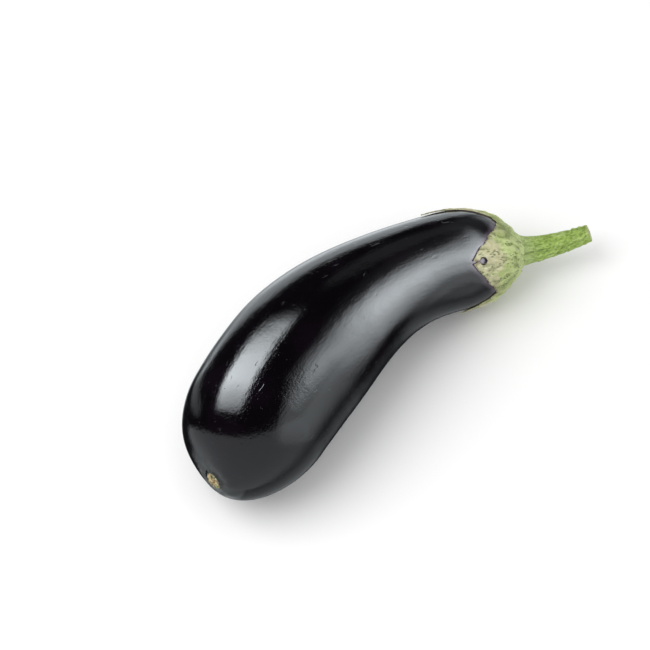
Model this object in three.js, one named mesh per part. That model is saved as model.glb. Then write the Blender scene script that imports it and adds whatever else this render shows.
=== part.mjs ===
// A whole dark purple eggplant, lying on its side the way it comes to rest.
// Millimetres, +Z up; the origin is the middle of its footprint on the surface below it.
// Three pieces: the fruit, the leafy green calyx round its neck, and the cut stem.
import * as THREE from "three";
import { ParametricGeometry } from "three/addons/geometries/ParametricGeometry.js";
import { mergeVertices } from "three/addons/utils/BufferGeometryUtils.js";

const { smoothstep, lerp, clamp, degToRad } = THREE.MathUtils;
const up = new THREE.Vector3(0, 0, 1);

// The spine runs from the blossom end, low on the fat end, to the middle of the calyx.
const blossomEnd = new THREE.Vector3(-122, -20.3, 35.5);
const bulbPull = new THREE.Vector3(-99, -18.8, 31.5);
const neckPull = new THREE.Vector3(-10.5, 42.7, 47.8);
const neckEnd = new THREE.Vector3(84, -12.8, 20.4);

// Fruit: radii and lengths; stations are shares of the spine's length.
const bulbRadius = 37.2;
const neckRadius = 26.2;
const taper = { from: 0.34, to: 0.775 };
const tail = { depth: 1.8, at: 0.105, spread: 0.12 };
const blossomCap = 41.5;
const neckCap = 38.5;
const ovalness = 0.008;
const lobing = 0.005;
const fruitColumns = 54;
const fruitRows = 62;

// Blossom scar: a corky button in a shallow ring, with puckers in the skin round it.
const scar = { ringRadius: 6.2, ringDepth: 0.9, ringWidth: 2.3, button: 0.5 };
const puckers = { count: 9, depth: 0.35, at: 9.5, spread: 4 };

// Calyx: reach is measured back from the neck end along the spine, angles round it in degrees.
const calyxGap = 0.35;
const valleyReach = 17.8;
const lobes = [
  { from: -2, tip: 52, to: 106, reach: 37.8, columns: 28, curl: 0.2, split: true },
  { from: 106, tip: 144, to: 172, reach: 46.5, columns: 18, curl: 1.1, point: 2 },
  { from: 172, tip: 205, to: 235, reach: 35, columns: 16, curl: 0.3 },
  { from: 235, tip: 264, to: 297, reach: 36, columns: 16, curl: 0 },
  { from: 297, tip: 331, to: 358, reach: 38.5, columns: 16, curl: 0.3 },
];
const lobePoint = 1.15;
const edgeWave = { height: 3, turns: 2.5 };
const tipSplit = { inner: 1.6, outer: 3.7, depth: 7.4 };
const leaf = { edge: 0.85, middle: 1.7, rib: 0.45, ribSpread: 7 };
const boss = { height: 1.8, inner: 9.4, outer: 15 };
const calyxRows = 13;

// Stem: a ribbed stalk that flares onto the calyx and ends in a plain cut.
const stemTip = new THREE.Vector3(120.8, -28.6, 22);
const stemGap = 0.3;
const stemPullLength = 14;
const stemFoot = { shift: 1.2, angle: 150 };
const stemRadii = { cut: 4.3, taper: 3.2, flare: 1.7, flareLength: 5 };
const stemRibs = { count: 6, height: 0.055, twist: 0.9 };
const cutFace = { dish: 0.4, dishShare: 0.62, chamfer: 0.35 };
const stemColumns = 36;
const stemRows = 18;

const spine = new THREE.CubicBezierCurve3(blossomEnd, bulbPull, neckPull, neckEnd);
spine.arcLengthDivisions = 800;
const spineLength = spine.getLength();

// The frame at a share of a curve's length: along it, level to its side, and upward from it.
function frameAt(curve, share) {
  const along = curve.getTangentAt(share);
  const side = new THREE.Vector3().crossVectors(along, up).normalize();
  const top = new THREE.Vector3().crossVectors(side, along);
  return { centre: curve.getPointAt(share), along, side, top };
}

// The direction at an angle round that frame, from its side (0) towards its top.
function outward(frame, angle) {
  return new THREE.Vector3()
    .addScaledVector(frame.side, Math.cos(angle))
    .addScaledVector(frame.top, Math.sin(angle));
}

function bell(x) {
  return Math.exp(-x * x);
}

// A quarter ellipse: 0 at the pole, 1 from the cap's length on.
function roundedEnd(distance, length) {
  const rest = 1 - clamp(distance / length, 0, 1);
  return Math.sqrt(1 - rest * rest);
}

function fruitRadius(share) {
  const body = lerp(bulbRadius, neckRadius, smoothstep(share, taper.from, taper.to));
  const narrowed = body - tail.depth * bell((share - tail.at) / tail.spread);
  const blossom = roundedEnd(share * spineLength, blossomCap);
  return narrowed * blossom * roundedEnd((1 - share) * spineLength, neckCap);
}

// The skin's height over the plain round body near the blossom end, at a radius from the pole.
function scarRelief(radius, angle) {
  const ring = -scar.ringDepth * bell((radius - scar.ringRadius) / scar.ringWidth);
  const button = scar.button * bell(radius / scar.ringRadius);
  const fade = Math.min(1, radius / scar.ringRadius);
  const pucker = Math.cos(puckers.count * angle) * bell((radius - puckers.at) / puckers.spread);
  return ring + button - puckers.depth * pucker * fade;
}

// A point of the skin, lifted along its normal.
function skinPoint(share, angle, lift) {
  const frame = frameAt(spine, share);
  const radius = fruitRadius(share);
  const step = 0.0005;
  const before = Math.max(0, share - step);
  const after = Math.min(1, share + step);
  const slope = (fruitRadius(after) - fruitRadius(before)) / ((after - before) * spineLength);
  const round = outward(frame, angle);
  const uneven = 1 + ovalness * Math.cos(2 * angle + 1.3 + 2.5 * share)
    + lobing * Math.cos(3 * angle - 4 * share);
  const normal = radius < 0.01
    ? frame.along.clone().multiplyScalar(share < 0.5 ? -1 : 1)
    : round.clone().addScaledVector(frame.along, -slope).normalize();
  const relief = share < 0.25 ? scarRelief(radius, angle) : 0;
  return frame.centre
    .addScaledVector(round, radius * uneven)
    .addScaledVector(normal, lift + relief);
}

// A grid of points closed along both ends: shared corners merged, collapsed triangles dropped.
function closedSurface(point, columns, rows) {
  const grid = new ParametricGeometry((across, along, target) => {
    const column = Math.round(across * columns) % columns;
    target.copy(point(column, Math.round(along * rows)));
  }, columns, rows);
  grid.deleteAttribute("normal");
  grid.deleteAttribute("uv");
  const merged = mergeVertices(grid, 1e-4);
  const corners = merged.index.array;
  const kept = [];
  for (let i = 0; i < corners.length; i += 3) {
    const [a, b, c] = corners.slice(i, i + 3);
    if (a !== b && b !== c && c !== a) kept.push(a, b, c);
  }
  merged.setIndex(kept);
  merged.computeVertexNormals();
  return merged;
}

function fruit() {
  return closedSurface((column, row) => {
    const share = (1 - Math.cos((Math.PI * row) / fruitRows)) / 2;
    const point = skinPoint(share, (-2 * Math.PI * column) / fruitColumns, 0);
    point.z = Math.max(point.z, 0);
    return point;
  }, fruitColumns, fruitRows);
}

// The calyx's columns, crowded towards each lobe's tip: angle and reach of the edge there.
function calyxColumns() {
  const columns = [];
  for (const lobe of lobes) {
    for (let i = 0; i < lobe.columns; i += 1) {
      const across = (2 * i) / lobe.columns - 1;
      const side = Math.abs(across) ** 1.5;
      const edge = across < 0 ? lobe.from : lobe.to;
      const point = (1 - side) ** (lobe.point ?? lobePoint);
      const wave = Math.sin(2 * Math.PI * edgeWave.turns * side) * side * (1 - side);
      const off = Math.abs(edge - lobe.tip) * side;
      const notch = lobe.split ? 1 - smoothstep(off, tipSplit.inner, tipSplit.outer) : 0;
      columns.push({
        angle: degToRad(lerp(lobe.tip, edge, side)),
        reach: lerp(valleyReach, lobe.reach, point) + edgeWave.height * wave
          - notch * tipSplit.depth,
        rib: leaf.rib * bell(off / leaf.ribSpread),
        curl: lobe.curl * bell(off / leaf.ribSpread),
      });
    }
  }
  return columns;
}

// A thin cup over the fruit's shoulder: out along its inside, round the edge, back to the boss.
function calyx() {
  const columns = calyxColumns();
  const neck = frameAt(spine, 1);
  return closedSurface((column, row) => {
    const { angle, reach, rib, curl } = columns[columns.length - 1 - column];
    const inside = row <= calyxRows;
    const step = (inside ? row : 2 * calyxRows + 1 - row) / calyxRows;
    const back = reach * step ** 1.7;
    const share = 1 - back / spineLength;
    const lift = calyxGap + curl * step ** 6;
    if (inside) return skinPoint(share, angle, lift);
    const thickness = lerp(leaf.middle, leaf.edge, step ** 3) + rib * step * (1 - step ** 4);
    const point = skinPoint(share, angle, lift + thickness);
    const flat = 1 - smoothstep(fruitRadius(share), boss.inner, boss.outer);
    const level = skinPoint(share, angle, 0).addScaledVector(neck.along, back + boss.height);
    return point.lerp(level, flat);
  }, columns.length, 2 * calyxRows + 1);
}

function stem() {
  const neck = frameAt(spine, 1);
  const middle = neckEnd.clone()
    .addScaledVector(outward(neck, degToRad(stemFoot.angle)), stemFoot.shift);
  const foot = middle.clone().addScaledVector(neck.along, boss.height + stemGap);
  const pull = middle.addScaledVector(neck.along, stemPullLength);
  const axis = new THREE.QuadraticBezierCurve3(foot, pull, stemTip);
  const length = axis.getLength();
  const side = stemRows - 4;
  return closedSurface((column, row) => {
    const share = clamp((row - 1) / side, 0, 1) ** 1.2;
    const frame = frameAt(axis, share);
    const angle = (-2 * Math.PI * column) / stemColumns;
    const { cut, taper: slope, flare, flareLength } = stemRadii;
    const plain = cut + slope * (1 - share) + flare * Math.exp((-share * length) / flareLength);
    const ribs = 1 + stemRibs.height * Math.cos(stemRibs.count * angle + stemRibs.twist * share);
    let radius = plain * ribs;
    let rise = 0;
    if (row === 0 || row === stemRows) radius = 0;
    if (row === stemRows - 2) {
      radius -= cutFace.chamfer;
      rise = cutFace.chamfer;
    }
    if (row === stemRows - 1) radius *= cutFace.dishShare;
    if (row >= stemRows - 1) rise = cutFace.chamfer - cutFace.dish;
    return frame.centre.addScaledVector(outward(frame, angle), radius)
      .addScaledVector(frame.along, rise);
  }, stemColumns, stemRows);
}

function piece(name, geometry, color, roughness) {
  const material = new THREE.MeshStandardMaterial({ color, roughness, metalness: 0 });
  const mesh = new THREE.Mesh(geometry, material);
  mesh.name = name;
  return mesh;
}

const eggplant = new THREE.Group();
eggplant.add(piece("fruit", fruit(), 0x17101f, 0.18));
eggplant.add(piece("calyx", calyx(), 0x98a362, 0.65));
eggplant.add(piece("stem", stem(), 0x8ea83e, 0.6));

export default eggplant;
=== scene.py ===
# A whole eggplant lying on its side: glossy near-black skin, leathery green calyx, ribbed cut stem.
import math

import bpy
import numpy as np
from mathutils import Matrix, Vector


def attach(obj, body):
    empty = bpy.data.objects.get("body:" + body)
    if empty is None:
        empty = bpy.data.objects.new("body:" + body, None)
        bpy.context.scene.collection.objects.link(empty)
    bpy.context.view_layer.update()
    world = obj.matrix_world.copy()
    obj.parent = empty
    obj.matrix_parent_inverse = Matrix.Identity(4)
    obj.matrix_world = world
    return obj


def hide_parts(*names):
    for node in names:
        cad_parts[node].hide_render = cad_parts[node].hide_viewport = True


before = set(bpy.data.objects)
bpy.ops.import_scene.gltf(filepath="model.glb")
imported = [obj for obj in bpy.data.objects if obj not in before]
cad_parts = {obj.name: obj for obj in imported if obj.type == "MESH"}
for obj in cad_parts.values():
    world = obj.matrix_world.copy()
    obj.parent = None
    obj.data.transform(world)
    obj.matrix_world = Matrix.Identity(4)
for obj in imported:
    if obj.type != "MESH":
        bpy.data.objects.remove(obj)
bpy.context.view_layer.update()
mm = 0.001  # every length below is in millimetres until it is multiplied by this
print("frame loaded:", ", ".join(sorted(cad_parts)))

fruit = {
    "spine": [(-122, -20.3, 35.5), (-99, -18.8, 31.5), (-10.5, 42.7, 47.8), (84, -12.8, 20.4)],
    "bulbRadius": 37.2, "neckRadius": 26.2,
    "taperFrom": 0.34, "taperTo": 0.775,  # shares of the spine's length
    "tailDepth": 1.8, "tailAt": 0.105, "tailSpread": 0.12,
    "blossomCap": 41.5, "neckCap": 38.5,
    "ovalness": 0.008, "lobing": 0.005,
    "waves": 0.09,  # height of the faint unevenness that bends the reflections
    "rows": 300, "columns": 256,
}
scar = {
    "ringRadius": 6.2, "ringDepth": 0.7, "ringWidth": 2.6, "button": 0.5,
    "puckerCount": 9, "puckerDepth": 0.07, "puckerAt": 9.5, "puckerSpread": 4,
    "crust": 0.3,  # roughness of the corky button, as a height
}
calyx = {
    "gap": 0.22, "valley": 17.8, "point": 1.15,
    "lobes": [  # angles round the neck in degrees, reach back along the spine, lift of the tip
        {"start": -2, "tip": 52, "end": 106, "reach": 36.4, "columns": 180, "curl": 0.2, "split": True,
         "endPoint": 1.4, "endValley": 15.4},
        {"start": 106, "tip": 144, "end": 172, "reach": 46.5, "columns": 84, "curl": 0.1, "point": 2.1,
         "valley": 15.4},
        {"start": 172, "tip": 205, "end": 235, "reach": 35, "columns": 76, "curl": 0.3},
        {"start": 235, "tip": 264, "end": 297, "reach": 36, "columns": 76, "curl": 0.0},
        {"start": 297, "tip": 331, "end": 358, "reach": 38.5, "columns": 76, "curl": 0.3},
    ],
    "waveHeight": 2.2, "waveTurns": 2.5, "ragged": 0.25,
    "edge": 0.55, "middle": 1.5, "thinFrom": 8, "thinTo": 28,  # thickness at the edge and near the stem
    "rib": 0.45, "ribSpread": 7, "flankSpread": 34, "lopsided": 0.7, "thickest": 325,
    "bossHeight": 1.1, "bossInner": 6.5, "bossOuter": 13,  # the rounded shoulder under the stem
    "grooves": [  # angle, and where it starts and ends down from the stem
        (93, 7, 23), (82, 11, 26), (69, 5, 15), (13, 8, 24), (24, 13, 27), (36, 4, 13), (116, 8, 24),
        (129, 6, 30), (158, 9, 28), (186, 6, 22), (218, 8, 26), (247, 5, 24), (281, 9, 27), (312, 6, 22),
        (343, 9, 28),
    ],
    "grooveDepth": 0.6, "grooveWidth": 2.2, "grooveWander": 2.2,
    "spread": 1.7, "fan": 12,  # how the rows crowd to the stem, and how late the columns turn to the edge
    "tipLift": 0.15, "evenEdge": 0.72,
    "swell": 0.16, "fold": 0.30, "wart": 0.16,  # heights of the broad, lengthwise and finest unevenness
    "insideRows": 18, "edgeRows": 5, "outsideRows": 84,
}
keyhole = {  # the round hole behind the split tip, the slit that runs on from it and the blunt prongs
    "share": 0.30, "round": 0.65,  # the lobe's columns that end in both, and those of them round the hole
    "centre": 30.9, "along": 2.2, "across": 2.1, "mouth": 0.75, "blunt": 0.04,
    "dark": 0.7,  # share of those columns whose edge is painted black as shade
}
stem = {
    "tip": (120.8, -28.6, 22), "pull": 14, "sink": 2.6, "shift": 1.2, "shiftWay": 150,
    "cut": 4.3, "taper": 3.2, "flare": 1.7, "flareLength": 5,
    "ribCount": 6, "ribHeight": 0.055, "ribTwist": 0.9,
    "furrows": [(81, 11), (46, 16), (118, 5), (168, 9), (222, 12), (276, 8), (330, 10), (8, 5)],
    "furrowDepth": 0.18, "furrowWidth": 0.075,  # each furrow above is an angle and a length
    "wart": 0.17, "dish": 0.4, "chamfer": 0.35, "slant": 14, "slantWay": 240,
    "columns": 180, "sideRows": 150, "capRows": 10,
}


def bell(x):
    return np.exp(-np.square(x))


def smooth(x, low, high):
    # 3t^2 - 2t^3 with t the share of the way from low to high
    t = np.clip((x - low) / (high - low), 0, 1)
    return t * t * (3 - 2 * t)


def mix(a, b, t):
    return a + (b - a) * t


def unit(v):
    return v / np.maximum(np.linalg.norm(v, axis=-1, keepdims=True), 1e-12)


class Spine:
    # A Bezier curve of any order, read at shares of its length: sum of C(n,k) (1-t)^(n-k) t^k times point k
    def __init__(self, points, samples=4001):
        points = np.array(points, float)
        order = len(points) - 1
        t = np.linspace(0, 1, samples)[:, None]
        weights = [math.comb(order, k) * (1 - t) ** (order - k) * t**k for k in range(order + 1)]
        self.places = sum(w * p for w, p in zip(weights, points))
        steps = np.linalg.norm(np.diff(self.places, axis=0), axis=1)
        self.lengths = np.concatenate([[0], np.cumsum(steps)])
        self.length = self.lengths[-1]
        self.slopes = unit(np.gradient(self.places, axis=0))

    def frame(self, share):
        # centre, and unit vectors along the curve, level to its side and upward from it
        at = np.clip(share, 0, 1) * self.length
        read = lambda table: np.stack([np.interp(at, self.lengths, table[:, k]) for k in range(3)], -1)
        along = unit(read(self.slopes))
        side = unit(np.cross(along, np.array([0.0, 0.0, 1.0])))
        return read(self.places), along, side, np.cross(side, along)


def outward(side, top, angle):
    return np.cos(angle)[..., None] * side + np.sin(angle)[..., None] * top


def ripples(points, size, seed, count=24):
    # Sum of plane waves in random directions, about -1 to 1, with wavelengths near size
    rng = np.random.default_rng(seed)
    ways = unit(rng.normal(size=(count, 3))) * (2 * np.pi / (size * rng.uniform(0.7, 1.5, (count, 1))))
    phases = rng.uniform(0, 2 * np.pi, count)
    total = np.zeros(points.shape[:-1])
    for way, phase in zip(ways, phases):
        total += np.sin(points @ way + phase)
    return total / math.sqrt(count)


body = Spine(fruit["spine"])


def roundedEnd(distance, length):
    # A quarter ellipse: 0 at the pole, 1 from the cap's length on
    return np.sqrt(1 - (1 - np.clip(distance / length, 0, 1)) ** 2)


def fruitRadius(share):
    # A smooth taper from bulb to neck, narrowed at the tail, times a quarter ellipse at each end
    toNeck = smooth(share, fruit["taperFrom"], fruit["taperTo"])
    plain = mix(fruit["bulbRadius"], fruit["neckRadius"], toNeck)
    plain = plain - fruit["tailDepth"] * bell((share - fruit["tailAt"]) / fruit["tailSpread"])
    ends = roundedEnd(share * body.length, fruit["blossomCap"])
    return plain * ends * roundedEnd((1 - share) * body.length, fruit["neckCap"])


def scarRelief(radius, angle):
    # A ring-shaped hollow round a low button, with cosine puckers outside it
    ring = -scar["ringDepth"] * bell((radius - scar["ringRadius"]) / scar["ringWidth"])
    button = scar["button"] * bell(radius / scar["ringRadius"])
    fade = np.minimum(1, radius / scar["ringRadius"])
    pucker = np.cos(scar["puckerCount"] * angle) * bell((radius - scar["puckerAt"]) / scar["puckerSpread"])
    return ring + button - scar["puckerDepth"] * pucker * fade


def skinPoint(share, angle, lift):
    # Circles of fruitRadius round the spine, a little oval, lifted along the skin's normal
    centre, along, side, top = body.frame(share)
    radius = fruitRadius(share)
    step = 0.0005
    before, after = np.maximum(0, share - step), np.minimum(1, share + step)
    slope = (fruitRadius(after) - fruitRadius(before)) / ((after - before) * body.length)
    ring = outward(side, top, angle)
    uneven = 1 + fruit["ovalness"] * np.cos(2 * angle + 1.3 + 2.5 * share)
    uneven = uneven + fruit["lobing"] * np.cos(3 * angle - 4 * share)
    normal = unit(ring - slope[..., None] * along)
    normal = np.where((radius < 0.01)[..., None], along * np.where(share < 0.5, -1, 1)[..., None], normal)
    relief = np.where(share < 0.25, scarRelief(radius, angle), 0)
    return centre + ring * (radius * uneven)[..., None] + normal * (lift + relief)[..., None]


def straight(share, angle, radius, length):
    # (radius cos angle, radius sin angle, share of length): the bend taken out, for patterns that follow it
    return np.stack([radius * np.cos(angle), radius * np.sin(angle), share * length + 0 * radius], -1)


def surface(name, points, **attributes):
    # A grid of rows and columns, closed across; first and last row are one point each. Millimetres to metres.
    rows, columns = points.shape[:2]
    inner = points[1:-1].reshape(-1, 3)
    places = np.concatenate([points[0, :1], inner, points[-1, :1]]) * mm
    last = len(places) - 1
    column = np.arange(columns)
    after = (column + 1) % columns
    starts = 1 + columns * np.arange(rows - 3)[:, None]
    below = starts + columns
    quads = np.stack([starts + column, starts + after, below + after, below + column], -1)
    end = 1 + columns * (rows - 3)
    first = np.stack([np.zeros(columns, int), 1 + after, 1 + column], -1)
    final = np.stack([np.full(columns, last), end + column, end + after], -1)
    mesh = bpy.data.meshes.new(name)
    mesh.from_pydata(places.tolist(), [], quads.reshape(-1, 4).tolist() + first.tolist() + final.tolist())
    for key, values in attributes.items():
        flat = np.concatenate([values[0, :1], values[1:-1].reshape(-1, *values.shape[2:]), values[-1, :1]])
        kind = "FLOAT_VECTOR" if values.ndim == 3 else "FLOAT"
        layer = mesh.attributes.new(key, kind, "POINT")
        layer.data.foreach_set("vector" if values.ndim == 3 else "value", flat.astype(np.float32).ravel())
    mesh.shade_smooth()
    mesh.update()
    piece = bpy.data.objects.new(name, mesh)
    bpy.context.scene.collection.objects.link(piece)
    return piece


def edgeOfCalyx():
    # The lobes' outline column by column: angles at the edge and at the stem, reach back along the fruit,
    # degrees off the lobe's tip, curl, whether it ends in the hole with its edge painted black as shade,
    # and the split lobe's own angle
    lateral = math.degrees(1 / fruit["neckRadius"])  # degrees round the neck per millimetre
    parts = {key: [] for key in ("edgeAngle", "rootAngle", "reach", "off", "curl", "hole", "split")}
    for lobe in calyx["lobes"]:
        across = 2 * np.arange(lobe["columns"]) / lobe["columns"] - 1
        span = np.where(across < 0, lobe["tip"] - lobe["start"], lobe["end"] - lobe["tip"])
        sign = np.where(across < 0, -1, 1)
        size = np.abs(across)
        split = lobe.get("split")
        start = keyhole["share"] if split else 0.0
        prong = keyhole["mouth"] * lateral if split else 0.0
        side = np.clip((size - start) / (1 - start), 0, 1) ** 1.5
        off = prong + (span - prong) * side
        if split:
            blunt = keyhole["blunt"]
            side = (np.hypot(side, blunt) - blunt) / (math.hypot(1, blunt) - blunt)
        point, valley = (np.where(across < 0, lobe.get(first, calyx[first]), lobe.get(last, calyx[first]))
                         for first, last in (("point", "endPoint"), ("valley", "endValley")))
        reach = mix(valley, lobe["reach"], (1 - side) ** point)
        wave = np.sin(2 * np.pi * calyx["waveTurns"] * side)
        reach = reach + calyx["waveHeight"] * wave * side * (1 - side)
        if split:
            # Columns that end round the hole, then along a slit that widens to the tip
            way = np.clip(size / start, 0, 1)
            turn = np.pi * np.clip(way / keyhole["round"], 0, 1)
            onward = np.clip((way - keyhole["round"]) / (1 - keyhole["round"]), 0, 1)
            holeReach = mix(keyhole["centre"] - keyhole["along"] * np.cos(turn), lobe["reach"], onward)
            inHole = size < start
            off = np.where(inHole, keyhole["mouth"] * onward * lateral, off)
            reach = np.where(inHole, holeReach, reach)
        root = span * (0.55 * size + 0.45 * size**2) if split else span * size**1.25
        # The hole's columns whose edge is painted near-black as shade
        parts["hole"].append(np.where(size < keyhole["dark"] * start, 1.0, 0.0))
        parts["split"].append(np.full(len(size), float(lobe["tip"] if split else np.nan)))
        parts["edgeAngle"].append(lobe["tip"] + sign * off)
        parts["rootAngle"].append(lobe["tip"] + sign * root)
        parts["reach"].append(reach)
        parts["off"].append(sign * np.maximum(off, 1e-6))
        parts["curl"].append(lobe["curl"] * bell(off / calyx["ribSpread"]))
    return {key: np.concatenate(values) for key, values in parts.items()}


edge = edgeOfCalyx()


def makeFruit():
    # Rows crowd towards both poles by a cosine; the underside is level where it rests
    share = (1 - np.cos(np.pi * np.linspace(0, 1, fruit["rows"]))) / 2
    angle = -2 * np.pi * np.arange(fruit["columns"]) / fruit["columns"]
    share, angle = np.meshgrid(share, angle, indexing="ij")
    radius = fruitRadius(share)
    flow = straight(share, angle, radius, body.length)
    swell = fruit["waves"] * (ripples(flow, 34, 3) + 0.12 * ripples(flow, 13, 4))
    swell = swell * np.minimum(1, radius / 20)
    fromPole = np.where(share < 0.2, radius, 60)
    crust = scar["crust"] * ripples(flow, 1.6, 8) * bell(np.maximum(fromPole - 2.5, 0) / 2.2)
    points = skinPoint(share, angle, swell + crust)
    points[..., 2] = np.maximum(points[..., 2], 0)
    outline = edge["hole"] < 0.5  # the hole is left out, so that the skin seen in it counts as covered
    degrees = np.degrees(angle) % 360
    reach = np.interp(degrees, edge["edgeAngle"][outline] % 360, edge["reach"][outline], period=360)
    fromCalyx = (1 - share) * body.length - reach
    return surface("eggplantFruit", points, flow=flow * mm, fromPole=fromPole * mm, fromCalyx=fromCalyx * mm)


def makeCalyx():
    # A cup in (step from stem to edge, column round the neck): out along the inside, round the edge and back
    inside = np.linspace(0, 1, calyx["insideRows"])
    outside = np.linspace(1, 0, calyx["outsideRows"]) ** 0.85
    bend = np.linspace(0, np.pi, calyx["edgeRows"] + 2)[1:-1]
    step = np.concatenate([inside, np.ones(len(bend)), outside])
    face = np.concatenate([np.zeros(len(inside)), (1 - np.cos(bend)) / 2, np.ones(len(outside))])
    beyond = np.concatenate([np.zeros(len(inside)), np.sin(bend), np.zeros(len(outside))])
    values = {key: v[::-1][None, :] for key, v in edge.items()}
    step, face, beyond = step[:, None], face[:, None], beyond[:, None]
    degrees = mix(values["rootAngle"], values["edgeAngle"], step ** calyx["fan"])
    around = values["edgeAngle"]
    ragged = np.sin(around * 0.62 + 1) + 0.8 * np.sin(around * 1.13) + 0.6 * np.sin(around * 2.3 + 2)
    reach = values["reach"] + calyx["ragged"] * ragged * bell(6 / (np.abs(values["off"]) + 1e-3))
    back = reach * step ** calyx["spread"] + beyond * calyx["edge"] * 0.5
    # Beside the hole the columns are pushed apart: new offset = root of (offset squared + half width squared)
    fromMiddle = (back - keyhole["centre"]) / keyhole["along"]
    halfWidth = keyhole["across"] * np.sqrt(np.maximum(0, 1 - fromMiddle**2))
    halfWidth = halfWidth * math.degrees(1 / fruit["neckRadius"])
    offset = degrees - values["split"]
    way = np.where(values["off"] < 0, -1, 1)
    degrees = np.where(np.isnan(offset), degrees, values["split"] + way * np.hypot(offset, halfWidth))
    angle = np.radians(degrees)
    share = 1 - back / body.length
    radius = fruitRadius(share)
    ring = 12 + radius / 2
    flow = np.stack([ring * np.cos(angle), ring * np.sin(angle), np.hypot(back, radius)], -1)
    rib = calyx["rib"] * bell(values["off"] / calyx["ribSpread"]) * step * (1 - step**4)
    swell = calyx["swell"] * ripples(flow, 9, 15)
    fold = calyx["fold"] * ripples(flow * np.array([1, 1, 0.25]), 2.4, 16)
    warts = calyx["wart"] * (ripples(flow * np.array([1, 1, 0.6]), 2.1, 5) + 0.6 * ripples(flow, 1.1, 6))
    groove = 0 * back
    for middle, first, last in calyx["grooves"]:
        turn = (degrees - middle + 180) % 360 - 180 + calyx["grooveWander"] * np.sin(0.45 * back + middle)
        length = smooth(back, first - 3, first + 2) * (1 - smooth(back, last - 4, last + 2))
        groove = groove + bell(turn / calyx["grooveWidth"]) * length
    relief = swell + fold + warts - calyx["grooveDepth"] * groove
    thin = np.maximum(step**3, smooth(back, calyx["thinFrom"], calyx["thinTo"]))
    thickness = mix(calyx["middle"], calyx["edge"], thin) + rib + relief * (1 - calyx["evenEdge"] * step**5)
    lean = calyx["lopsided"] * np.cos(angle - math.radians(calyx["thickest"]))
    thickness = np.maximum(thickness + lean * (1 - step**3), 0.4)
    lift = calyx["gap"] + values["curl"] * step**6 + calyx["tipLift"] * step**10
    points = skinPoint(share, angle, lift + face * thickness)
    flat = 1 - smooth(radius, calyx["bossInner"], calyx["bossOuter"])
    _, along, _, _ = body.frame(np.array(1.0))
    level = skinPoint(share, angle, 0 * share) + along * (back + calyx["bossHeight"] + relief)[..., None]
    points = mix(points, level, (flat * (face > 0.5))[..., None])
    rim = (step + 0 * back) * face
    # Mask of painted shade: darker towards the lobes' flanks, more on one side
    flank = (1 - bell(values["off"] / calyx["flankSpread"])) * np.where(values["off"] > 0, 1, 0.7) + 0 * back
    # hole marks the hole's edge, painted near-black as shade
    return surface("eggplantCalyx", points, flow=flow * mm, fromStem=back * mm, rim=rim, flank=flank,
                   relief=relief, hole=values["hole"] * smooth(step, 0.985, 0.998) + 0 * back)


def makeStem():
    # Ribbed circles along a bent axis, radius = cut + taper + exponential flare, closed by a dished cut face
    neck, along, side, top = body.frame(np.array(1.0))
    neck = neck + stem["shift"] * outward(side, top, np.radians(stem["shiftWay"]))
    foot = neck + along * (calyx["bossHeight"] - stem["sink"])
    axis = Spine([foot, neck + along * stem["pull"], stem["tip"]])
    side = np.linspace(0, 1, stem["sideRows"])
    cap = np.linspace(1, 0, stem["capRows"] + 1)[1:]
    share = np.concatenate([[0], side, np.ones(len(cap))])[:, None]
    scale = np.concatenate([[0], np.ones(len(side)), cap])[:, None]
    capRow = np.concatenate([[0], np.zeros(len(side)), np.ones(len(cap))])[:, None]
    angle = -2 * np.pi * np.arange(stem["columns"])[None, :] / stem["columns"]
    plain = stem["cut"] + stem["taper"] * (1 - share)
    plain = plain + stem["flare"] * np.exp(-share * axis.length / stem["flareLength"])
    ribs = 1 + stem["ribHeight"] * np.cos(stem["ribCount"] * angle + stem["ribTwist"] * share)
    ribs = ribs + 0.018 * np.cos(13 * angle + 1.5 * share + 1) + 0.012 * np.cos(21 * angle - 2 * share)
    share, angle = share + 0 * angle, angle + 0 * share
    furrow = 0 * share
    for degrees, reach in stem["furrows"]:
        turn = (angle - math.radians(degrees) + np.pi) % (2 * np.pi) - np.pi
        turn = turn + 0.05 * np.sin(share * 9 + degrees)
        furrow = furrow + bell(turn / stem["furrowWidth"]) * bell(share * axis.length / reach)
    ribs = ribs - stem["furrowDepth"] * furrow
    flow = straight(share, angle, plain * ribs, axis.length)
    stretched = flow * np.array([1, 1, 0.65])
    warts = stem["wart"] * (ripples(stretched, 1.7, 11) + 0.6 * ripples(stretched, 0.9, 12)) * (1 - capRow)
    relief = warts - 0.55 * furrow
    radius = (plain * ribs + warts - stem["chamfer"] * capRow) * scale
    centre, onward, level, top = axis.frame(share)
    rise = capRow * (stem["chamfer"] - stem["dish"] * (1 - scale**3))
    slope = math.tan(math.radians(stem["slant"])) * smooth(share * axis.length, axis.length - 9, axis.length)
    rise = rise + slope * radius * np.cos(angle - math.radians(stem["slantWay"]))
    points = centre + outward(level, top, angle) * radius[..., None] + onward * (rise + 0 * radius)[..., None]
    return surface("eggplantStem", points, flow=flow * mm, cutFace=capRow + 0 * radius, out=radius * mm,
                   relief=relief)


skinPiece, calyxPiece, stemPiece = makeFruit(), makeCalyx(), makeStem()
print("pieces made:", skinPiece.name, calyxPiece.name, stemPiece.name)


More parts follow.
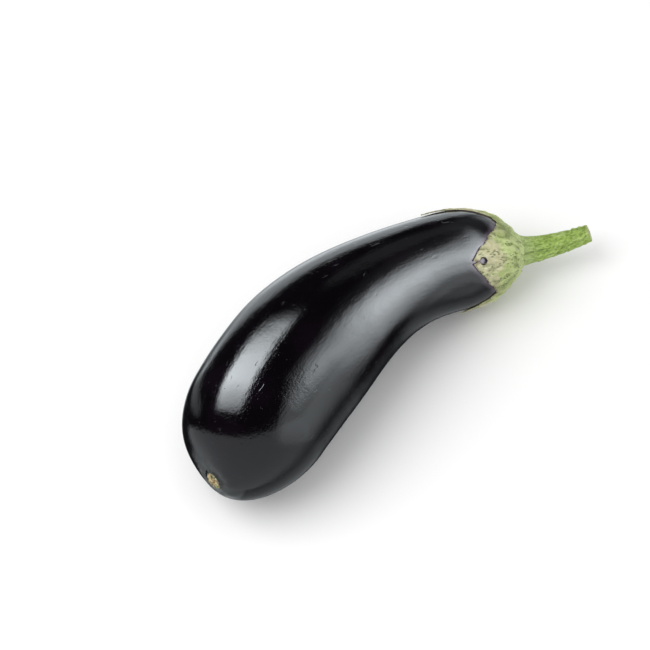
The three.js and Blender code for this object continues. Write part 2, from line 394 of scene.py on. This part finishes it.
class Tree:
    # Adds nodes to a node tree and links sockets by name
    def __init__(self, tree):
        self.tree = tree
        tree.nodes.clear()

    def node(self, kind, **values):
        made = self.tree.nodes.new(kind)
        for key, value in values.items():
            setattr(made, key, value)
        return made

    def put(self, target, value):
        if isinstance(value, bpy.types.NodeSocket):
            self.tree.links.new(value, target)
        else:
            target.default_value = value

    def math(self, operation, a, b=0.0, c=0.0, clamp=False):
        made = self.node("ShaderNodeMath", operation=operation, use_clamp=clamp)
        for socket, value in zip(made.inputs, (a, b, c)):
            self.put(socket, value)
        return made.outputs[0]

    def vector(self, operation, a, b=(0, 0, 0)):
        made = self.node("ShaderNodeVectorMath", operation=operation)
        self.put(made.inputs[0], a)
        self.put(made.inputs[1], b)
        return made.outputs["Value" if operation == "DOT_PRODUCT" else "Vector"]

    def ramp(self, kind, *given):
        made = self.node("ShaderNodeMapRange", interpolation_type=kind)
        for key, value in zip(("Value", "From Min", "From Max", "To Min", "To Max"), given):
            self.put(made.inputs[key], value)
        return made.outputs["Result"]

    def between(self, value, low, high, atLow=0.0, atHigh=1.0):
        return self.ramp("SMOOTHSTEP", value, low, high, atLow, atHigh)

    def blend(self, share, a, b):
        made = self.node("ShaderNodeMix", data_type="RGBA")
        self.put(made.inputs["Factor"], share)
        self.put(made.inputs[6], a)
        self.put(made.inputs[7], b)
        return made.outputs[2]

    def noise(self, vector, scale, detail=2.0, roughness=0.5):
        made = self.node("ShaderNodeTexNoise")
        self.put(made.inputs["Vector"], vector)
        self.put(made.inputs["Scale"], scale)
        self.put(made.inputs["Detail"], detail)
        self.put(made.inputs["Roughness"], roughness)
        return made.outputs["Fac"]

    def attribute(self, name, output="Fac"):
        return self.node("ShaderNodeAttribute", attribute_name=name).outputs[output]

    def scaled(self, vector, scale):
        return self.vector("MULTIPLY", vector, scale)

    def use(self, group, **values):
        made = self.node("ShaderNodeGroup", node_tree=group)
        for key, value in values.items():
            self.put(made.inputs[key], value)
        return made.outputs[0]


def newGroup(name, inputs, output):
    group = bpy.data.node_groups.new(name, "ShaderNodeTree")
    for key, kind, value in inputs:
        socket = group.interface.new_socket(name=key, in_out="INPUT", socket_type=kind)
        if value is not None:
            socket.default_value = value
    group.interface.new_socket(name=output[0], in_out="OUTPUT", socket_type=output[1])
    t = Tree(group)
    return group, t, t.node("NodeGroupInput").outputs, t.node("NodeGroupOutput").inputs


def flecksGroup():
    # Small separate spots: Voronoi cells smaller than Size, kept where a coarser noise is above Bare
    group, t, given, result = newGroup(
        "flecks",
        [("Vector", "NodeSocketVector", None), ("Scale", "NodeSocketFloat", 800.0),
         ("Size", "NodeSocketFloat", 0.3), ("Bare", "NodeSocketFloat", 0.5)],
        ("Mask", "NodeSocketFloat"))
    cells = t.node("ShaderNodeTexVoronoi", feature="F1")
    t.put(cells.inputs["Vector"], given["Vector"])
    t.put(cells.inputs["Scale"], given["Scale"])
    spot = t.math("SUBTRACT", given["Size"], cells.outputs["Distance"])
    spot = t.between(spot, 0.0, 0.12)
    where = t.noise(given["Vector"], t.math("MULTIPLY", given["Scale"], 0.22), 1.0)
    kept = t.between(where, given["Bare"], t.math("ADD", given["Bare"], 0.08))
    t.put(result["Mask"], t.math("MULTIPLY", spot, kept))
    return group


def grainGroup():
    # Two octaves of fine unevenness as a height from 0 to 1
    group, t, given, result = newGroup(
        "fineGrain",
        [("Vector", "NodeSocketVector", None), ("Scale", "NodeSocketFloat", 900.0),
         ("Coarse", "NodeSocketFloat", 0.5)],
        ("Height", "NodeSocketFloat"))
    fine = t.noise(given["Vector"], given["Scale"], 3.0, 0.6)
    broad = t.noise(given["Vector"], t.math("MULTIPLY", given["Scale"], 0.22), 2.0)
    coarse = t.math("MULTIPLY", broad, given["Coarse"])
    t.put(result["Height"], t.math("ADD", fine, coarse))
    return group


flecks, fineGrain = flecksGroup(), grainGroup()


def newMaterial(name):
    material = bpy.data.materials.new(name)
    material.use_nodes = True
    t = Tree(material.node_tree)
    shader = t.node("ShaderNodeBsdfPrincipled")
    t.put(t.node("ShaderNodeOutputMaterial").inputs["Surface"], shader.outputs[0])
    return material, t, shader.inputs


def bump(t, height, distance, strength=1.0, normal=None):
    made = t.node("ShaderNodeBump")
    made.inputs["Distance"].default_value = distance
    made.inputs["Strength"].default_value = strength
    t.put(made.inputs["Height"], height)
    if normal is not None:
        t.put(made.inputs["Normal"], normal)
    return made.outputs["Normal"]


def skinMaterial():
    material, t, shader = newMaterial("glossyDarkSkin")
    place = t.node("ShaderNodeTexCoord").outputs["Object"]
    flow = t.attribute("flow", "Vector")
    fromCalyx = t.attribute("fromCalyx")
    fromPole = t.attribute("fromPole")
    dark = (0.0014, 0.0009, 0.0016, 1)
    plum = (0.0034, 0.0018, 0.0036, 1)
    colour = t.blend(t.between(t.noise(place, 38, 3), 0.4, 0.7), dark, plum)
    lilac = (0.115, 0.085, 0.118, 1)
    unevenly = t.math("MULTIPLY", t.noise(place, 260, 2), 0.0022)
    nearCalyx = t.between(t.math("ADD", fromCalyx, unevenly), 0.0062, 0.0008)
    colour = t.blend(t.math("MULTIPLY", nearCalyx, 0.8), colour, lilac)
    streak = t.noise(t.scaled(flow, (1, 1, 0.12)), 520, 2)
    tailGreen = t.math("MULTIPLY", t.between(fromPole, 0.013, 0.0055), t.between(streak, 0.45, 0.7))
    colour = t.blend(t.math("MULTIPLY", tailGreen, 0.5), colour, (0.035, 0.042, 0.022, 1))
    unevenly = t.math("MULTIPLY", t.noise(place, 700, 2), 0.0022)
    cork = t.between(t.math("ADD", fromPole, unevenly), 0.0058, 0.0049)
    brown, straw = (0.25, 0.15, 0.065, 1), (0.52, 0.43, 0.24, 1)
    corkTone = t.blend(t.between(t.noise(place, 900, 3), 0.42, 0.60), brown, straw)
    corkTone = t.blend(t.between(t.noise(place, 420, 2), 0.52, 0.62), corkTone, (0.20, 0.25, 0.10, 1))
    corkTone = t.blend(t.between(t.noise(place, 1100, 2), 0.52, 0.60), corkTone, (0.035, 0.017, 0.010, 1))
    corkTone = t.blend(t.between(fromPole, 0.0036, 0.0046), corkTone, (0.19, 0.21, 0.12, 1))
    colour = t.blend(cork, colour, corkTone)
    marks = t.use(flecks, Vector=place, Scale=300.0, Size=0.11, Bare=0.5)
    colour = t.blend(t.math("MULTIPLY", marks, 0.35), colour, (0.16, 0.14, 0.13, 1))
    t.put(shader["Base Color"], colour)
    rough = t.between(t.noise(place, 60, 3, 0.6), 0.3, 0.75, 0.06, 0.105)
    rough = t.math("ADD", rough, t.math("MULTIPLY", marks, 0.25))
    covered = t.between(fromCalyx, 0.0, -0.0016)
    rough = t.math("ADD", rough, t.math("MULTIPLY", covered, 0.3))
    t.put(shader["Roughness"], t.math("ADD", rough, t.math("MULTIPLY", cork, 0.5), clamp=True))
    shader["IOR"].default_value = 1.5
    grain = t.use(fineGrain, Vector=place, Scale=1000.0, Coarse=0.8)
    normal = bump(t, grain, 0.000042, 1.0)
    patches = t.between(t.noise(place, 48, 2), 0.40, 0.62, 0.25, 1.0)
    pits = t.math("MULTIPLY", t.between(t.noise(place, 1150, 1), 0.56, 0.66), patches)
    normal = bump(t, pits, -0.000012, 1.0, normal)
    scuffs = t.between(t.noise(t.scaled(flow, (1, 1, 0.4)), 430, 1), 0.70, 0.76)
    normal = bump(t, scuffs, -0.00005, 1.0, normal)
    hairs = t.math("MULTIPLY", t.noise(t.scaled(flow, (1, 1, 0.2)), 760, 2), patches)
    normal = bump(t, hairs, 0.00009, 1.0, normal)
    t.put(shader["Normal"], bump(t, marks, 0.00006, 0.6, normal))
    return material


def calyxMaterial():
    material, t, shader = newMaterial("leatheryCalyx")
    place = t.node("ShaderNodeTexCoord").outputs["Object"]
    flow = t.attribute("flow", "Vector")
    fromStem, rim, relief = t.attribute("fromStem"), t.attribute("rim"), t.attribute("relief")
    leaf, paleLeaf = (0.36, 0.425, 0.155, 1), (0.475, 0.56, 0.235, 1)
    green = t.blend(t.between(t.noise(flow, 120, 3), 0.35, 0.65), leaf, paleLeaf)
    beige, paleBeige = (0.43, 0.405, 0.24, 1), (0.535, 0.51, 0.335, 1)
    tan = t.blend(t.between(t.noise(place, 260, 3), 0.38, 0.64), beige, paleBeige)
    dry = t.noise(t.scaled(flow, (1, 1, 0.5)), 130, 2)
    nearTip = t.between(fromStem, 0.010, 0.027, -0.14, 0.2)
    colour = t.blend(t.between(t.math("ADD", dry, nearTip), 0.42, 0.68), green, tan)
    # Painted shade: darker green in the hollows of the relief
    creaseShade = t.between(relief, -0.05, -0.5)
    # Painted shade: darker olive on the lobes' flanks, broken up by noise
    flank = t.math("MULTIPLY", t.attribute("flank"), t.between(t.noise(flow, 190, 3), 0.3, 0.6, 0.5, 1.0))
    colour = t.blend(flank, colour, (0.165, 0.195, 0.062, 1))
    nearStem = t.between(fromStem, 0.013, 0.002, 0.0, 0.75)
    colour = t.blend(nearStem, colour, (0.56, 0.66, 0.30, 1))
    dried = t.between(fromStem, 0.031, 0.040, 0.0, 0.9)
    colour = t.blend(dried, colour, (0.30, 0.275, 0.20, 1))
    colour = t.blend(t.math("MULTIPLY", creaseShade, 0.5), colour, (0.115, 0.145, 0.042, 1))
    # Painted highlight: paler colour on the crests of the relief
    crestHighlight = t.between(relief, 0.1, 0.5)
    colour = t.blend(t.math("MULTIPLY", crestHighlight, 0.35), colour, (0.52, 0.53, 0.31, 1))
    dashes = t.use(flecks, Vector=t.scaled(flow, (1, 1, 0.28)), Scale=1250.0, Size=0.38, Bare=0.43)
    colour = t.blend(t.math("MULTIPLY", dashes, 0.85), colour, (0.115, 0.14, 0.045, 1))
    pale = t.use(flecks, Vector=t.scaled(flow, (1, 1, 0.6)), Scale=1150.0, Size=0.42, Bare=0.46)
    colour = t.blend(t.math("MULTIPLY", pale, 0.42), colour, (0.58, 0.60, 0.36, 1))
    # Brown at the lobes' rims is the calyx's own colour; round the hole the edge is painted near-black as
    # shade
    rimBrownAndHoleShade = t.blend(t.attribute("hole"), (0.13, 0.085, 0.06, 1), (0.012, 0.007, 0.010, 1))
    colour = t.blend(t.between(rim, 0.97, 1.0, 0.0, 0.85), colour, rimBrownAndHoleShade)
    colour = t.blend(t.attribute("hole"), colour, rimBrownAndHoleShade)
    t.put(shader["Base Color"], colour)
    t.put(shader["Roughness"], t.between(t.noise(place, 300, 2), 0.3, 0.7, 0.5, 0.68))
    shader["Specular IOR Level"].default_value = 0.32
    grain = t.use(fineGrain, Vector=t.scaled(flow, (1, 1, 0.6)), Scale=1000.0, Coarse=1.2)
    t.put(shader["Normal"], bump(t, t.math("SUBTRACT", grain, dashes), 0.0003, 1.0))
    return material


def stemMaterial():
    material, t, shader = newMaterial("ribbedStem")
    place = t.node("ShaderNodeTexCoord").outputs["Object"]
    flow = t.attribute("flow", "Vector")
    cutFace, out, relief = t.attribute("cutFace"), t.attribute("out"), t.attribute("relief")
    long = t.scaled(flow, (1, 1, 0.5))
    leaf, paleLeaf = (0.215, 0.31, 0.057, 1), (0.285, 0.395, 0.096, 1)
    colour = t.blend(t.between(t.noise(long, 380, 3), 0.36, 0.64), leaf, paleLeaf)
    # Painted shade: darker green in the furrows and hollows of the relief
    creaseShade = t.between(relief, 0.0, -0.4)
    colour = t.blend(t.math("MULTIPLY", creaseShade, 0.75), colour, (0.075, 0.125, 0.02, 1))
    # Painted highlight: paler colour on the crests of the relief
    crestHighlight = t.between(relief, 0.08, 0.4)
    colour = t.blend(t.math("MULTIPLY", crestHighlight, 0.5), colour, (0.38, 0.47, 0.17, 1))
    fleck = t.use(flecks, Vector=t.scaled(flow, (1, 1, 0.5)), Scale=950.0, Size=0.44, Bare=0.45)
    colour = t.blend(t.math("MULTIPLY", fleck, 0.5), colour, (0.10, 0.16, 0.03, 1))
    pale = t.use(flecks, Vector=t.scaled(flow, (1, 1, 0.7)), Scale=900.0, Size=0.42, Bare=0.50)
    colour = t.blend(t.math("MULTIPLY", pale, 0.45), colour, (0.46, 0.52, 0.25, 1))
    # Painted light: paler near the stem's foot, lifting the shade that falls there beside the calyx
    parts = t.node("ShaderNodeSeparateXYZ")
    t.put(parts.inputs[0], flow)
    colour = t.blend(t.between(parts.outputs[2], 0.014, 0.001, 0.0, 0.75), colour, (0.42, 0.50, 0.22, 1))
    ringTone = t.blend(t.between(out, 0.0026, 0.0034), (0.36, 0.42, 0.17, 1), (0.62, 0.60, 0.36, 1))
    ringTone = t.blend(t.between(t.noise(place, 800, 2), 0.5, 0.65), ringTone, (0.34, 0.28, 0.13, 1))
    colour = t.blend(cutFace, colour, ringTone)
    t.put(shader["Base Color"], colour)
    t.put(shader["Roughness"], t.between(t.noise(place, 350, 2), 0.3, 0.7, 0.42, 0.6))
    shader["Specular IOR Level"].default_value = 0.32
    grain = t.use(fineGrain, Vector=t.scaled(flow, (1, 1, 0.45)), Scale=1050.0, Coarse=1.0)
    t.put(shader["Normal"], bump(t, t.math("SUBTRACT", grain, fleck), 0.00024, 0.9))
    return material


for piece, make, node, slot in (
    (skinPiece, skinMaterial, "fruit", "skin"),
    (calyxPiece, calyxMaterial, "calyx", "calyx"),
    (stemPiece, stemMaterial, "stem", "stem"),
):
    piece.data.materials.append(make())
    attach(piece, "root")
    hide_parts(node)
print("materials made")

view = {
    "azimuth": -40, "elevation": 60, "distance": 1070, "target": (-12, 27.2, 0),
    "focal": 2058.8, "picture": 650, "sensor": 36,  # focal and picture in pixels of the photograph
}
studio = {  # what the gloss reflects: directions in the frame of a camera only 12 degrees above the surface
    "tilt": 48, "dark": 0.02, "tint": (0.895, 0.965, 1.0, 1),
    # corners are azimuth and elevation in degrees, from the low left one; soft is low, right, high, left;
    # light is at the lowest and the highest corner
    "panels": [
        {"corners": [(-200, 6), (-142, 8), (-142, 42), (-190, 46)],
         "soft": (10, 8, 10, 14), "light": (1.15, 1.5)},
        {"corners": [(-218, -16), (-162, -14), (-160, 22), (-218, 26)],
         "soft": (10, 8, 10, 14), "light": (0.55, 0.55)},
        {"corners": [(118, -8), (160, -8), (160, 42), (118, 42)],
         "soft": (10, 12, 12, 10), "light": (1.0, 1.0)},
        {"corners": [(-124, -120), (94, -120), (94, 3.5), (-124, -11.5)],
         "soft": (4, 38, 4, 9), "light": (0.95, 0.8)},
        {"corners": [(104, -120), (190, -120), (190, -28), (104, -28)],
         "soft": (4, 30, 10, 46), "light": (0.35, 0.35)},
        {"corners": [(-172, -110), (-126, -110), (-124, -30), (-172, -30)],
         "soft": (12, 9, 6, 12), "light": (0.75, 0.55)},
        {"corners": [(-150, 4), (-98, 4), (-98, 16), (-150, 16)],
         "soft": (6, 12, 6, 8), "light": (0.5, 0.5)},
        {"corners": [(96, 46), (165, 46), (165, 84), (96, 84)],
         "soft": (16, 24, 8, 20), "light": (0.2, 0.2)},
    ],
}
cards = {  # sheets close to the fruit that only the gloss sees, with panels in centimetres on the sheet
    "centre": (-12, 5, 36), "half": 80,  # centre in millimetres; half a side and the distances in centimetres
    "sheets": [
        {"azimuth": -22.8, "elevation": 55.0, "distance": 33.7, "panels": [
            {"corners": [(-29.3, -24.0), (-1.6, -26.4), (0.6, 3.0), (-27.1, 8.4)], "soft": (2, 4.5, 20, 7),
             "light": (1.6, 20.5)},
        ]},
        {"azimuth": 89.1, "elevation": 42.8, "distance": 13.0, "panels": [
            {"corners": [(-18.0, -6.6), (3.6, -21.5), (1.2, -4.5), (-18.4, -0.8)], "soft": (14, 5, 13, 2),
             "light": (2.74, 7.51)},
            {"corners": [(-6.3, -5.8), (-1.1, -6.8), (2.8, 2.7), (-11.3, 2.7)], "soft": (16, 2.5, 9, 6),
             "light": (13.58, 0.46)},
            {"corners": [(-60.0, -58.0), (11.5, -59.7), (-15.2, -0.5), (-36.6, -12.7)],
             "soft": (1.6, 24, 7, 23), "light": (0.13, 1.75)},
        ]},
    ],
}
lights = {
    "dome": 0.86, "key": 7.5, "keySize": 0.9, "keyFrom": (-0.55, 0.25, 0.95),
    "floor": (0.86, 0.86, 0.86, 1), "floorHalf": 6.0,
}


def viewAxes(azimuth, elevation):
    # Unit vectors forward, right and up of a camera that looks down at that elevation
    a, e = math.radians(azimuth), math.radians(elevation)
    forward = Vector((-math.sin(a) * math.cos(e), math.cos(a) * math.cos(e), -math.sin(e)))
    right = Vector((math.cos(a), math.sin(a), 0))
    return forward, right, right.cross(forward)


def makeCamera():
    forward, _, _ = viewAxes(view["azimuth"], view["elevation"])
    data = bpy.data.cameras.new("camera")
    data.sensor_width = view["sensor"]
    data.lens = view["focal"] / view["picture"] * view["sensor"]
    data.clip_start, data.clip_end = 0.05, 50
    camera = bpy.data.objects.new("camera", data)
    camera.location = Vector(view["target"]) * mm - forward * view["distance"] * mm
    camera.rotation_euler = forward.to_track_quat("-Z", "Y").to_euler()
    bpy.context.scene.collection.objects.link(camera)
    bpy.context.scene.camera = camera


def panelGroup():
    # Product over four edges of smoothstep(edge . (azimuth, elevation, 1)), azimuth counted round from Middle;
    # on a sheet the two are its own x and y
    edges = ("Low", "Right", "High", "Left")
    group, t, given, result = newGroup(
        "lightPanel",
        [("Azimuth", "NodeSocketFloat", None), ("Elevation", "NodeSocketFloat", None),
         ("Middle", "NodeSocketFloat", None)] + [(edge, "NodeSocketVector", None) for edge in edges],
        ("Mask", "NodeSocketFloat"))
    least, most = (t.math("ADD", given["Middle"], turn) for turn in (-180.0, 180.0))
    place = t.node("ShaderNodeCombineXYZ")
    t.put(place.inputs[0], t.math("WRAP", given["Azimuth"], most, least))
    t.put(place.inputs[1], given["Elevation"])
    t.put(place.inputs[2], 1.0)
    mask = 1.0
    for edge in edges:
        step = t.between(t.vector("DOT_PRODUCT", place.outputs[0], given[edge]), 0.0, 1.0)
        mask = t.math("MULTIPLY", step, mask)
    t.put(result["Mask"], mask)
    return group


def edgeVectors(panel):
    # For each edge the vector whose dot with (azimuth, elevation, 1) runs 0 to 1 across its soft width
    corners = np.array(panel["corners"], float)
    vectors = []
    for corner, after, soft in zip(corners, np.roll(corners, -1, axis=0), panel["soft"]):
        inward = np.array([corner[1] - after[1], after[0] - corner[0]])
        inward = inward / np.linalg.norm(inward) / soft
        vectors.append((inward[0], inward[1], 0.5 - float(inward @ corner)))
    return vectors, float(corners[:, 0].mean()), float(corners[:2, 1].min()), float(corners[2:, 1].max())


def panelLight(t, group, panels, across, up, dark):
    # Dark, and each panel's mask times a light that runs evenly from its lowest to its highest corner
    light = dark
    for panel in panels:
        vectors, middle, lowest, highest = edgeVectors(panel)
        mask = t.use(group, Azimuth=across, Elevation=up, Middle=middle,
                     **dict(zip(("Low", "Right", "High", "Left"), vectors)))
        level = t.ramp("LINEAR", up, lowest, highest, *panel["light"])
        light = t.math("ADD", t.math("MULTIPLY", mask, level), light)
    return light


def studioAxes():
    # Right, up and near of the low camera's frame, in which the studio's directions are given
    forward, right, up = viewAxes(view["azimuth"], view["elevation"])
    low = math.radians(view["elevation"] - studio["tilt"])
    up = up * math.cos(low) - forward * math.sin(low)
    return right, up, right.cross(up)


def squareMesh(name, half):
    mesh = bpy.data.meshes.new(name)
    corners = [(-half, -half, 0), (half, -half, 0), (half, half, 0), (-half, half, 0)]
    mesh.from_pydata(corners, [], [(0, 1, 2, 3)])
    square = bpy.data.objects.new(name, mesh)
    bpy.context.scene.collection.objects.link(square)
    return square


def makeSheet(sheet, group, number):
    # Faces the centre from its azimuth, elevation and distance, and adds its light to what is behind it
    right, up, near = studioAxes()
    azimuth, elevation = math.radians(sheet["azimuth"]), math.radians(sheet["elevation"])
    level = right * math.sin(azimuth) + near * math.cos(azimuth)
    out = level * math.cos(elevation) + up * math.sin(elevation)
    across = up.cross(out).normalized()
    card = squareMesh(f"sheet{number}", cards["half"] / 100)
    place = Vector(cards["centre"]) * mm + out * sheet["distance"] / 100
    turn = Matrix((across, out.cross(across), out)).transposed()
    card.matrix_world = Matrix.LocRotScale(place, turn, None)
    material = bpy.data.materials.new(f"sheet{number}")
    material.use_nodes = True
    material.node_tree.nodes.clear()
    material.cycles.emission_sampling = "NONE"
    t = Tree(material.node_tree)
    parts = t.node("ShaderNodeSeparateXYZ")
    t.put(parts.inputs[0], t.scaled(t.node("ShaderNodeTexCoord").outputs["Object"], (100, 100, 100)))
    glow = t.node("ShaderNodeEmission")
    t.put(glow.inputs["Color"], studio["tint"])
    light = panelLight(t, group, sheet["panels"], parts.outputs[0], parts.outputs[1], 0.0)
    t.put(glow.inputs["Strength"], light)
    both = t.node("ShaderNodeAddShader")
    t.put(both.inputs[0], glow.outputs[0])
    t.put(both.inputs[1], t.node("ShaderNodeBsdfTransparent").outputs[0])
    t.put(t.node("ShaderNodeOutputMaterial").inputs["Surface"], both.outputs[0])
    card.data.materials.append(material)
    for kind in ("camera", "diffuse", "transmission", "volume_scatter", "shadow"):
        setattr(card, "visible_" + kind, False)


def makeSurroundings(group):
    # The camera and matt surfaces see plain white; only the gloss sees the dark studio with its panels
    world = bpy.data.worlds.new("studio")
    bpy.context.scene.world = world
    world.use_nodes = True
    t = Tree(world.node_tree)
    right, up, toNear = studioAxes()
    way = t.vector("NORMALIZE", t.node("ShaderNodeTexCoord").outputs["Generated"])
    across = t.vector("DOT_PRODUCT", way, tuple(right))
    near = t.vector("DOT_PRODUCT", way, tuple(toNear))
    azimuth = t.math("MULTIPLY", t.math("ARCTAN2", across, near), math.degrees(1))
    high = t.math("ARCSINE", t.vector("DOT_PRODUCT", way, tuple(up)))
    elevation = t.math("MULTIPLY", high, math.degrees(1))
    light = panelLight(t, group, studio["panels"], azimuth, elevation, studio["dark"])
    glossy = t.node("ShaderNodeLightPath").outputs["Is Glossy Ray"]
    strength = t.node("ShaderNodeMix", data_type="FLOAT")
    t.put(strength.inputs["Factor"], glossy)
    t.put(strength.inputs[2], lights["dome"])
    t.put(strength.inputs[3], light)
    tint = t.blend(glossy, (1, 1, 1, 1), studio["tint"])
    background = t.node("ShaderNodeBackground")
    t.put(background.inputs["Color"], tint)
    t.put(background.inputs["Strength"], strength.outputs[0])
    t.put(t.node("ShaderNodeOutputWorld").inputs["Surface"], background.outputs[0])
    world.cycles.sampling_method = "NONE"


def makeFloor():
    floor = squareMesh("floor", lights["floorHalf"])
    material, _, shader = newMaterial("paleFloor")
    shader["Base Color"].default_value = lights["floor"]
    shader["Roughness"].default_value = 0.9
    shader["Specular IOR Level"].default_value = 0.0
    floor.data.materials.append(material)
    floor.visible_glossy = False


def makeKey():
    data = bpy.data.lights.new("key", "AREA")
    data.shape = "DISK"
    data.size = lights["keySize"]
    data.energy = lights["key"]
    lamp = bpy.data.objects.new("key", data)
    lamp.location = lights["keyFrom"]
    lamp.rotation_euler = (-Vector(lights["keyFrom"])).to_track_quat("-Z", "Y").to_euler()
    lamp.visible_glossy = False
    lamp.visible_camera = False
    bpy.context.scene.collection.objects.link(lamp)


makeCamera()
panels = panelGroup()
makeSurroundings(panels)
for number, sheet in enumerate(cards["sheets"]):
    makeSheet(sheet, panels, number)
makeFloor()
makeKey()
bpy.context.scene.view_settings.view_transform = "Standard"
print("stage made")
